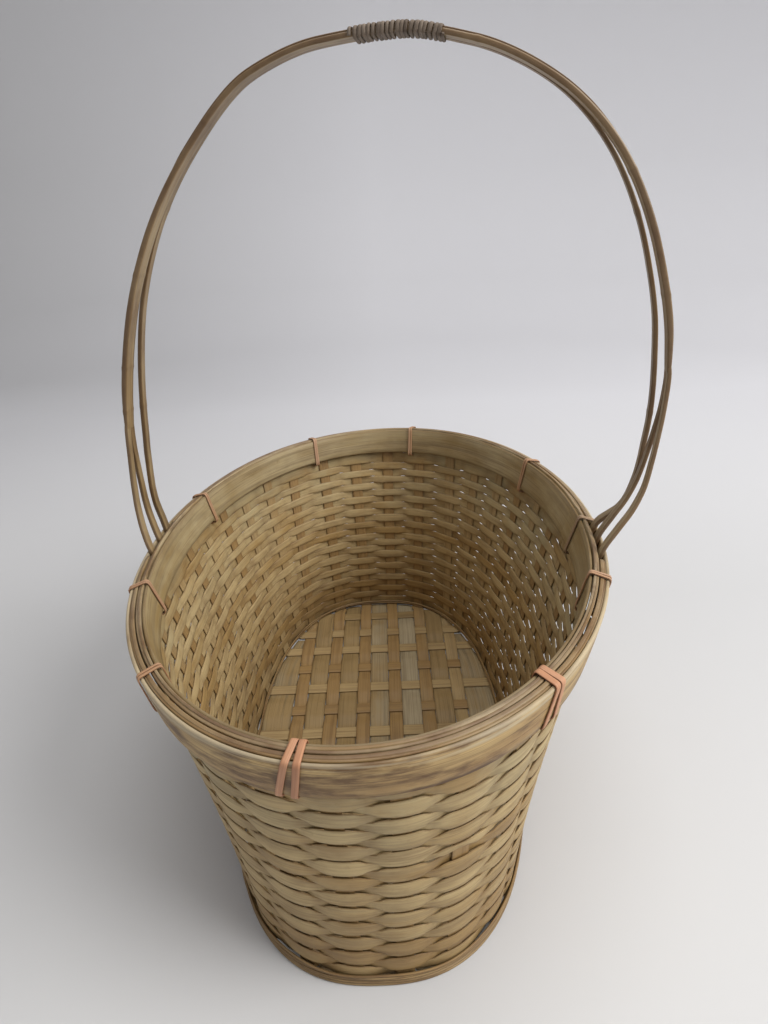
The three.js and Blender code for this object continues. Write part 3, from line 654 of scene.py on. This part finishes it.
def make_base():
    for index, column in enumerate(WIDE_SLAT_COLUMNS):
        reach = floor_reach(abs(column * GRID)) - SLAT_END_GAP
        run = woven_run(column, WIDE_SLAT, reach)
        for end, side in ((0, -1), (-1, 1)):
            run[end][0][1] = side * reach
        make_wide_slat(f"base_slat_{index + 1:02d}", column, run)
    for side, label in ((-1, "front"), (1, "back")):
        xs = np.linspace(-SHORT_SLAT_HALF, SHORT_SLAT_HALF, 5)
        run = [flat_station(x, side * LAST_ROW * GRID, LEVEL_CROSS, Y_AXIS) for x in xs]
        make_strip("base_short_slat_" + label, run, NARROW_SLAT, BASE_LOOK, "base_bamboo")


def make_stakes():
    behind = sum(row >= 0 for row in STAKE_ROWS)
    ahead = len(STAKE_ROWS) - behind
    columns = len(STAKE_COLUMNS)
    for index, column in enumerate(STAKE_COLUMNS):
        reach = floor_reach(abs(column * GRID)) - STAKE_END_GAP
        back = stake_run(behind + columns - 1 - index, X_AXIS)
        front = stake_run(STAKES - ahead - columns + index, X_AXIS)
        run = front[::-1] + woven_run(column, NARROW_SLAT, reach) + back
        make_strip(f"end_stake_{index + 1:02d}", run, NARROW_SLAT, STAKE_LOOK, "stake_bamboo")
    for index, row in enumerate(STAKE_ROWS):
        right = stake_run(row % STAKES, Y_AXIS)
        left = stake_run(STAKES // 2 - row, Y_AXIS)
        run = left[::-1] + right
        make_strip(f"side_stake_{index + 1:02d}", run, NARROW_SLAT, STAKE_LOOK, "stake_bamboo")


# ---- Weavers ----

def make_weaver(weaver):
    """One flat strip that goes round the wall twice, in and out between the stakes."""
    s = np.arange(-1, 2 * STAKES + 1e-6, 1 / WEAVE_STEPS)
    # The strip steps up one row over the last stake before its second round.
    row = 2 * weaver + ease(s - (STAKES - 1))
    t = (FIRST_ROW_FOOT + ROW_PITCH * (row + 0.5)) / RIM_HEIGHT
    swing = -np.cos(np.pi * s) * np.where(s < STAKES - 0.5, 1.0, -1.0)
    # Both sides of the step are outside the wall, so the strip stays out between them.
    swing = np.where(np.abs(s - (STAKES - 0.5)) < 0.5, 1.0, swing)
    swing = np.sign(swing) * np.abs(swing) ** SWING_BLUNTNESS
    u = stake_u(s, t)
    along, out, up = wall_frame(t, u)
    ends = np.minimum(s + 1, 2 * STAKES - s)
    run = s * STAKE_STEP
    outside = swing > 0
    depth = swing * np.where(outside, OUTSIDE_DEPTH, INSIDE_DEPTH)
    # The rows drift up and down together, and each only a little on its own.
    drift = sum(height * np.sin(2 * np.pi * waves * u + phase + shift * t)
                for height, waves, phase, shift in DRIFTS)
    rise = drift + wander(run, *ROW_WAVER)
    # Strips lie side by side where they cross the wall, and swell once they are apart.
    over = np.where(outside, OUTSIDE_SWELL_OVER, INSIDE_SWELL_OVER)
    apart = ease((np.abs(swing) - SWELL_FROM) / over)
    width = WEAVER_WIDTH + apart * np.where(outside, OUTSIDE_SWELL, INSIDE_SWELL)
    width = width + (wander(run, *WIDTH_WAVER) + RNG.uniform(-WIDTH_SPREAD, WIDTH_SPREAD)) * apart
    # The last row fills the space up to the rim bands.
    top = np.clip(row - (2 * WEAVERS - 2), 0, 1)
    cover = top * (TOP_ROW_COVER + (1 - TOP_ROW_COVER) * apart)
    width = width + TOP_ROW_EXTRA * cover
    rise = rise + TOP_ROW_RISE * cover
    if weaver == CREASED_WEAVER:
        crease = np.exp(-(((s - CREASE_AT) / CREASE_REACH) ** 2))
        width = width - CREASE_NARROWING * crease
        rise = rise + CREASE_RISE * crease
    centre = wall_point(t, u) + out * depth[:, None] + up * rise[:, None]
    width = width * np.clip(WEAVER_END + ends, WEAVER_END, 1.0)
    tangent = unit(np.gradient(centre, axis=0))
    across = unit(up - tangent * np.sum(up * tangent, 1)[:, None])
    normal = np.cross(tangent, across)
    normal *= np.sign(np.sum(normal * out, 1))[:, None]
    crown = np.where(outside, OUTSIDE_CROWN, INSIDE_CROWN) * swing
    # Painted shade: a strip is browner where it passes between the stakes, down in the recesses of the
    # weave.
    dirt = WEAVER_RECESS_SHADE * (1 - np.abs(swing))
    strips = Strips()
    strips.add(centre, across, normal, width, WEAVER_THICKNESS, crown, dirt=dirt)
    name = f"weaver_{weaver + 1:02d}"
    strips.make("fine_" + name, WEAVER_LOOK, "weaver_bamboo", name)


# ---- Rim, rounds and lashings ----

def steps_round(start, end, closed):
    """Places along the rim, as fractions of the way round."""
    steps = max(LEAST_STEPS, int(abs(end - start) * RIM_STEPS))
    return np.linspace(start, end, steps, endpoint=not closed)


def band_strip(strips, band):
    """A wide band right round the rim."""
    u = steps_round(0, 1, True)
    middle = (band["foot"] + band["top"]) / 2
    _, out, up = wall_frame(middle, u)
    height = np.linalg.norm(wall_point(band["top"], u) - wall_point(band["foot"], u), axis=1)
    height = height + wander(u * RIM_AROUND, *BAND_WAVER)
    centre = off_wall(middle, u, np.full(len(u), band["offset"]))
    strips.add(centre, up, out, height, band["thickness"], BAND_CROWN, True, dirt=BAND_DIRT)


def filler_strip(strips, start, end, offset, width, closed, lift):
    """One thin strip along the rim top."""
    u = steps_round(start, end, closed)
    _, out, up = wall_frame(FILLER["middle"], u)
    rise = lift + wander(u * RIM_LENGTH, *FILLER_WAVER)
    centre = off_wall(FILLER["middle"], u, np.full(len(u), offset)) + up * rise[:, None]
    strips.add(centre, up, out, FILLER["height"], width, FILLER_CROWN, closed, dirt=FILLER_DIRT)


def make_rim():
    outer = Strips()
    band_strip(outer, OUTER_BAND)
    outer.make("fine_rim_band_outer", BAND_LOOK, "rim_bamboo", "rim_band_outer")
    inner = Strips()
    band_strip(inner, INNER_BAND)
    inner.make("fine_rim_band_inner", INNER_BAND_LOOK, "rim_bamboo", "rim_band_inner")
    for name, offset, start, end in (
        ("rim_filler_inner", -FILLER["offset"], 0.0, 1.0),
        ("rim_filler_front", FILLER["offset"], *FILLER_FRONT),
        ("rim_filler_back", FILLER["offset"], *FILLER_BACK),
    ):
        strips = Strips()
        closed = name == "rim_filler_inner"
        for shift, width, lift in FILLER_SPLITS["inner" if closed else "outer"]:
            filler_strip(strips, start, end, offset + shift, width, closed, lift)
        strips.make("fine_" + name, RIM_LOOK, "rim_bamboo", name)


def twine(strips, z, offset, sway, phase):
    """A thin strand that sways in and out round the foot of the wall."""
    u = np.linspace(0, 1, STRAND_STEPS, endpoint=False)
    t = z / RIM_HEIGHT
    _, out, up = wall_frame(t, u)
    wave = offset + sway * np.cos(np.pi * STAKES * u + phase)
    rise = wander(u * FOOT_AROUND, *STRAND_WAVER)
    centre = wall_point(t, u) + out * wave[:, None] + up * rise[:, None]
    strips.add(centre, out, up, STRAND_SIZE, STRAND_SIZE, 0.0, True, ROUND, STRAND_DIRT)


def make_rounds():
    u = np.linspace(0, 1, ROUND_STEPS, endpoint=False)
    out = unit(wall_frame(ROUND_LEVEL, u)[1] * (1, 1, 0))
    rise = np.broadcast_to(Z_AXIS, out.shape)
    for name, (offset, middle, width, height) in ROUNDS.items():
        strips = Strips()
        centre = wall_point(0.0, u) * (1, 1, 0) + out * offset + Z_AXIS * middle
        strips.add(centre, out, rise, width, height, 0.0, True, ROUND, ROUND_DIRT)
        for strand in STRANDS[name]:
            twine(strips, *strand)
        strips.make("fine_" + name, ROUND_LOOK, "foot_cane", name)


def lashing_turn(strips, u, width, lean, splay):
    """One turn round the rim; it leans along the rim, most at its outer foot."""
    loop = [(LASHING_INNER, LASHING_FOOT), (LASHING_INNER, LASHING_TOP),
            (LASHING_OUTER, LASHING_TOP), (LASHING_OUTER, LASHING_FOOT)]
    along, _, _ = wall_frame(LASHING_MIDDLE, u)
    corners = [off_wall(t, u, d) for d, t in loop]
    corners[3] = corners[3] + along * splay
    points = np.array([mix(corners[k], corners[(k + 1) % 4], q)
                       for k in range(4) for q in np.linspace(0, 1, LASHING_STEPS, endpoint=False)])
    for _ in range(LASHING_ROUNDING):
        points = (np.roll(points, 1, 0) + points * 2 + np.roll(points, -1, 0)) / 4
    tangent = unit(np.roll(points, -1, 0) - np.roll(points, 1, 0))
    normal = unit(np.cross(tangent, along))
    normal *= np.sign(np.sum(normal * (points - points.mean(0)), 1))[:, None]
    angle = np.linspace(0, 2 * np.pi, len(points), endpoint=False)
    points = points + along * (lean * np.sin(angle + RNG.uniform(0, 6)))[:, None]
    across = np.broadcast_to(along, points.shape)
    strips.add(points, across, normal, width, LASHING_THICKNESS, LASHING_CROWN, True, dirt=LASHING_DIRT)


def make_lashing(name, gap, slide, turns):
    """Two turns are two flat ribbons; a single turn is a pair of narrow strands."""
    strips = Strips()
    strands = (0,) if turns > 1 else (-1, 1)
    step, splay, foot_lean = LASHING_TIES.get(name, (LASHING_STEP, LASHING_SPLAY, 0.0))
    for turn in range(turns):
        side = turn - (turns - 1) / 2
        for strand in strands:
            shift = slide + side * step + strand * LASHING_WIDTH / 4
            u = (gap + 0.5) / STAKES + shift / RIM_LENGTH
            width = LASHING_WIDTH * (RIBBON_WIDTH if turns > 1 else STRAND_WIDTH)
            lashing_turn(strips, u, width, RNG.uniform(*LASHING_LEAN), side * splay + foot_lean)
    node = "lashing_" + name
    look = LASHING_LOOK if turns > 1 else SINGLE_LASHING_LOOK
    if name == "handle_right":
        look = WORN_LASHING_LOOK
    strips.make("fine_" + node, look, "lashing_strip", node)


# ---- Handle ----

HANDLE_ACROSS = unit((-HANDLE_SLOPE, 1, 0))


def handle_point(point):
    x, z, behind = point
    return np.array([x, HANDLE_Y + HANDLE_SLOPE * x + behind, z], float)


class Curve:
    """A smooth curve through points, by fraction of its length."""

    def __init__(self, points):
        points = np.array(points, float)
        gaps = np.sqrt(np.linalg.norm(np.diff(points, axis=0), axis=1))
        knots = np.concatenate([[0], np.cumsum(gaps)])
        fine = np.linspace(0, knots[-1], 800)
        self.points = smooth_path(points, knots, fine)
        run = np.concatenate([[0], np.cumsum(np.linalg.norm(np.diff(self.points, axis=0), axis=1))])
        self.length = run[-1]
        self.run = run / run[-1]

    def at(self, k):
        return np.stack([np.interp(k, self.run, self.points[:, i]) for i in range(3)], -1)

    def tangent(self, k):
        k = np.asarray(k)
        return unit(self.at(np.minimum(k + 0.004, 1)) - self.at(np.maximum(k - 0.004, 0)))


def bow(points):
    return Curve([handle_point(p) for p in points])


def bow_frame(curve, k):
    tangent = curve.tangent(k)
    across = np.broadcast_to(HANDLE_ACROSS, tangent.shape)
    return curve.at(k), across, -unit(np.cross(across, tangent))


def leg_stations(leg, top):
    """A leg from between stakes and outer band, over its knee, to the bow."""
    side, y, knee = leg
    u = find_u(1, 1, y, side)
    foot = []
    for t in LEG_HEIGHTS:
        along, out, _ = wall_frame(t, u)
        foot.append((off_wall(t, u, LEG_CHANNEL), along * np.sign(along[1]), out))
    curve = Curve([foot[1][0], foot[2][0], handle_point(knee), *top])
    stations = foot[:2]
    for k in np.linspace(0, 1, LEG_STEPS)[1:]:
        tangent = curve.tangent(k)
        across = mix(foot[2][1], HANDLE_ACROSS, min(1.0, k * LEG_TURN))
        across = unit(across - tangent * np.dot(across, tangent))
        normal = np.cross(across, tangent)
        stations.append((curve.at(k), across, normal * np.sign(np.dot(normal, foot[2][2]))))
    return stations


def knots_on(k, places, amount):
    """The swollen rings at a bamboo stem's joints."""
    return sum(amount * np.exp(-(((k - p) / KNOT_LENGTH) ** 2)) for p in places)


LEG_STEPS, LEG_TURN = 10, 1.5
KNOTS = (0.05, 0.1, 0.2, 0.36, 0.62, 0.79, 0.9)
BACK_KNOTS = (0.15, 0.31, 0.5, 0.72, 0.86)
KNOT_SWELL, KNOT_LENGTH = 0.35, 0.0025
# Where the split legs meet the bow, as shares of its length, and which side of it each is on.
SPLITS = (("front_left", (0.015, 0.045), -1), ("rear_left", (0.015, 0.045), 1),
          ("front_right", (0.985, 0.955), -1), ("rear_right", (0.985, 0.955), 1))
SPLIT_TUCK, TUCKED_WIDTH, TUCKED_THICKNESS = 9.0, 0.6, 0.4
SPLIT_CROWN, SPLIT_DIRT, FLARE_FADE = 0.15, 0.3, 1.4
BOW_FROM, BOW_TO, BOW_STEPS = 0.028, 0.972, 420
BOW_MARGIN, BOW_CROWN, BOW_DIRT = 0.2, 0.25, 0.25
END_THINNING, END_THICKNESS_LOSS, END_NARROWING = 0.05, 0.8, 0.8
TOP_THINNING = 0.95
BACK_ENDS, BACK_FROM, BACK_TO, BACK_STEPS = 0.02, 0.045, 0.955, 60
BACK_END_LENGTH, BACK_CROWN, BACK_DIRT = 60, 0.2, 0.45
SPLINT_STEPS, SPLINT_TIP, SPLINT_GROWTH = 200, 0.35, 6
SPLINT_CROWN, SPLINT_DIRT = 0.15, 0.6


def front_curve(offset):
    return bow([(x, z, -offset) for x, z in FRONT_SPINE])


def thinning(k):
    """The bows are thinnest at the top of the arch."""
    return TOP_THINNING * np.sin(np.pi * k) ** 4


def make_split_leg(strips, curve, name, ends, shift):
    """One of the legs that the bow splits into; its top narrows into the full bow."""
    top = [curve.at(at) + HANDLE_ACROSS * shift * SPLIT_OFFSET for at in ends]
    centre, across, normal, run = refine(leg_stations(LEGS[name], top))
    flare = np.clip(1 - run / run[-1] * FLARE_FADE, 0, 1)
    tuck = np.clip((run[-1] - run) / SPLIT_TUCK, 0, 1)
    widths = (SPLIT_WIDTH + LEG_FLARE * flare) * mix(TUCKED_WIDTH, 1.0, tuck)
    thickness = LEG_THICKNESS * mix(TUCKED_THICKNESS, 1.0, tuck)
    strips.add(centre, across, normal, widths, thickness, SPLIT_CROWN * tuck, dirt=SPLIT_DIRT)


def make_front_bow():
    curve = front_curve(BOW_OFFSET)
    strips = Strips()
    k = np.linspace(BOW_FROM, BOW_TO, BOW_STEPS)
    rings = knots_on(k, KNOTS, KNOT_SWELL)
    full = np.clip(np.minimum(k - BOW_FROM, BOW_TO - k) / END_THINNING, 0, 1)
    thickness = mix(LEG_THICKNESS - END_THICKNESS_LOSS, BOW_THICKNESS, np.sqrt(full)) - thinning(k)
    width = BOW_WIDTH - BOW_MARGIN - END_NARROWING * (1 - full) ** 4 + rings
    place = bow_frame(curve, k)
    strips.add(*place, width, thickness + rings, BOW_CROWN * full, dirt=BOW_DIRT + rings)
    for split in SPLITS:
        make_split_leg(strips, curve, *split)
    strips.make("fine_handle_bow_front", HANDLE_LOOK, "handle_bamboo", "handle_bow_front")


def make_back_bow():
    curve = bow(BACK_SPINE)
    strips = Strips()
    left = leg_stations(LEGS["back_left"], [curve.at(0.0), curve.at(BACK_ENDS)])
    right = leg_stations(LEGS["back_right"], [curve.at(1.0), curve.at(1 - BACK_ENDS)])
    k = np.linspace(BACK_FROM, BACK_TO, BACK_STEPS)
    middle = list(zip(*bow_frame(curve, k)))
    centre, across, normal, run = refine(left + middle + right[::-1])
    full = np.clip(np.minimum(run, run[-1] - run) / BACK_END_LENGTH, 0, 1)
    thickness = mix(LEG_THICKNESS, BACK_BOW_THICKNESS, full) - thinning(run / run[-1])
    rings = knots_on(run / run[-1], BACK_KNOTS, KNOT_SWELL)
    width = BACK_BOW_WIDTH + LEG_FLARE * (1 - full) + rings
    strips.add(centre, across, normal, width, thickness + rings, BACK_CROWN, dirt=BACK_DIRT)
    strips.make("fine_handle_bow_back", HANDLE_LOOK, "handle_bamboo", "handle_bow_back")


def make_splint():
    """The thin strip on top of the bows, which tapers out on each side."""
    k = np.linspace(*SPLINT_RUN, SPLINT_STEPS)
    q = (k - k[0]) / (k[-1] - k[0])
    taper = np.minimum(1, SPLINT_TIP + SPLINT_GROWTH * np.minimum(q, 1 - q))
    centre, across, normal = bow_frame(front_curve(BOW_OFFSET), k)
    thickness = SPLINT_THICKNESS * taper
    centre = centre + normal * (SPLINT_RISE + thickness / 2)[:, None]
    strips = Strips()
    strips.add(centre, across, normal, SPLINT_WIDTH * taper, thickness, SPLINT_CROWN, dirt=SPLINT_DIRT)
    strips.make("fine_handle_splint", HANDLE_LOOK, "handle_bamboo", "handle_splint")


def make_cord_wrap():
    """The cord, wound side by side round both bows at the top of the arch."""
    curve = front_curve(0)
    samples = np.linspace(0, 1, 401)
    start = samples[np.argmax(curve.at(samples)[:, 0] >= CORD_FROM)]
    corners = len(CORD_LOOP)
    i = np.arange(0, CORD_TURNS * corners + 1e-6, CORD_STEP)
    run = start + (i / corners * CORD_PITCH + wander(i, *CORD_WAVER)) / curve.length
    centre, across, normal = bow_frame(curve, run)
    low = np.floor(i).astype(int) % corners
    step = (i - np.floor(i))[:, None]
    loop = mix(CORD_LOOP[low], CORD_LOOP[(low + 1) % corners], step)
    points = centre + across * loop[:, :1] + normal * loop[:, 1:]
    for _ in range(CORD_ROUNDING):
        points[1:-1] = (points[:-2] + points[1:-1] * 2 + points[2:]) / 4
    tangent = unit(np.gradient(points, axis=0))
    side = curve.tangent(run)
    side = unit(side - tangent * np.sum(side * tangent, 1)[:, None])
    strips = Strips()
    widths = CORD_WIDTH + wander(i, *CORD_WIDTH_WAVER)
    thickness = CORD_THICKNESS + wander(i, *CORD_THICKNESS_WAVER)
    strips.add(points, side, np.cross(tangent, side), widths, thickness, profile=ROUND, dirt=CORD_DIRT)
    strips.make("fine_handle_cord_wrap", CORD_LOOK, "wrap_cord", "handle_cord_wrap")


# ---- Stage ----

def make_camera():
    yaw, pitch, roll = (math.radians(v) for v in (CAMERA_YAW, CAMERA_PITCH, CAMERA_ROLL))
    right0 = Vector((math.cos(yaw), math.sin(yaw), 0))
    ahead0 = Vector((-math.sin(yaw), math.cos(yaw), 0))
    up = Vector((0, 0, 1))
    ahead = ahead0 * math.cos(pitch) - up * math.sin(pitch)
    rise = up * math.cos(pitch) + ahead0 * math.sin(pitch)
    right = right0 * math.cos(roll) + rise * math.sin(roll)
    top = rise * math.cos(roll) - right0 * math.sin(roll)
    data = bpy.data.cameras.new("camera")
    data.lens, data.sensor_width = CAMERA_LENS, 36.0
    data.clip_start, data.clip_end = 0.01, 30.0
    camera = bpy.data.objects.new("camera", data)
    bpy.context.scene.collection.objects.link(camera)
    turn = Matrix((right, top, -ahead)).transposed().to_4x4()
    camera.matrix_world = Matrix.Translation(Vector(CAMERA_AT) * MM) @ turn
    bpy.context.scene.camera = camera


# The floor's section in metres: distance from the middle and height.
FLOOR_SECTION = ((0.0, 0.0), (1.2, 0.0), (1.6, 0.02), (1.95, 0.16), (2.2, 0.5), (2.3, 1.0), (2.3, 3.2))
FLOOR_SIDES = 96
# Paper colours: its own two tones, painted light behind the basket, and painted shade high up and at the
# back left.
PAPER_DARK, PAPER_LIGHT, PAPER_PAINTED_LIGHT_BEHIND = 0xC4C4C6, 0xD0D0D0, 0xE5E5E9
PAPER_PAINTED_SHADE_HIGH, PAPER_PAINTED_SHADE_BACK_LEFT, BACK_LEFT_SHADE_SHARE = 0xD2D2D6, 0x9A9A9B, 0.9
BEHIND_RANGE, HIGH_PAPER_RANGE, BACK_RANGE, LEFT_RANGE = (0.2, 1.0), (0.2, 1.05), (0.3, 1.3), (-1.5, 0.0)


def floor_paper():
    """Plain paper, with painted light behind the basket and painted shade high up and at the back left.
    """
    g = Graph("floor_paper")
    place = g.node("ShaderNodeTexCoord").outputs["Object"]
    parts = g.node("ShaderNodeSeparateXYZ")
    g.set(parts.inputs[0], place)
    x, y, z = parts.outputs
    paper = g.blend(g.noise(place, 0.8, 2.0), srgb(PAPER_DARK), srgb(PAPER_LIGHT))
    # Painted light on the paper behind the basket, then painted shade high up and at the back left.
    paper = g.blend(g.ramp(y, *BEHIND_RANGE), paper, srgb(PAPER_PAINTED_LIGHT_BEHIND))
    paper = g.blend(g.ramp(z, *HIGH_PAPER_RANGE), paper, srgb(PAPER_PAINTED_SHADE_HIGH))
    left = g.math("SUBTRACT", 1.0, g.ramp(x, *LEFT_RANGE))
    shade = g.math("MULTIPLY", g.ramp(y, *BACK_RANGE), left)
    paper = g.tint(paper, shade, BACK_LEFT_SHADE_SHARE, PAPER_PAINTED_SHADE_BACK_LEFT)
    g.set(g.shader.inputs["Base Color"], paper)
    g.shader.inputs["Roughness"].default_value = 0.6
    return g.material


def make_floor():
    """A round floor that sweeps up into a wall, so every view has the same plain ground."""
    sides = FLOOR_SIDES
    points, faces = [], []
    for radius, height in FLOOR_SECTION:
        for i in range(sides):
            a = 2 * math.pi * i / sides
            points.append((radius * math.cos(a), radius * math.sin(a), height))
    for r in range(len(FLOOR_SECTION) - 1):
        for i in range(sides):
            j = (i + 1) % sides
            faces.append([r * sides + i, r * sides + j, (r + 1) * sides + j, (r + 1) * sides + i])
    mesh = bpy.data.meshes.new("floor")
    mesh.from_pydata(points, [], faces)
    mesh.polygons.foreach_set("use_smooth", [True] * len(faces))
    mesh.materials.append(floor_paper())
    floor = bpy.data.objects.new("floor", mesh)
    bpy.context.scene.collection.objects.link(floor)


def make_light(name, at, target, size, power, colour):
    data = bpy.data.lights.new(name, "AREA")
    data.shape, data.size, data.energy, data.color = "DISK", size, power, colour
    light = bpy.data.objects.new(name, data)
    light.location = at
    light.rotation_euler = (Vector(target) - Vector(at)).to_track_quat("-Z", "Y").to_euler()
    bpy.context.scene.collection.objects.link(light)


WORLD_COLOUR, WORLD_STRENGTH = (1.0, 0.985, 0.96, 1.0), 0.35
LIGHT_TARGET, LIGHT_COLOUR = (0, 0, 0.1), (1.0, 0.99, 0.97)
# For each light: its place and size in metres, and its power in watts.
LIGHTS = {
    "window": ((1.38, -0.6, 1.45), 1.3, 36.5),
    "overhead": ((0.1, -0.1, 2.1), 1.4, 15.0),
}


def make_lights():
    world = bpy.data.worlds.new("studio")
    world.use_nodes = True
    background = world.node_tree.nodes["Background"]
    background.inputs["Color"].default_value = WORLD_COLOUR
    background.inputs["Strength"].default_value = WORLD_STRENGTH
    bpy.context.scene.world = world
    for name, (at, size, power) in LIGHTS.items():
        make_light(name, at, LIGHT_TARGET, size, power, LIGHT_COLOUR)
    bpy.context.scene.view_settings.view_transform = "Standard"


make_camera()
make_floor()
make_lights()
make_base()
make_stakes()
for weaver_index in range(WEAVERS):
    make_weaver(weaver_index)
make_rim()
make_rounds()
for lashing, placing in LASHINGS.items():
    make_lashing(lashing, *placing)
make_front_bow()
make_back_bow()
make_splint()
make_cord_wrap()
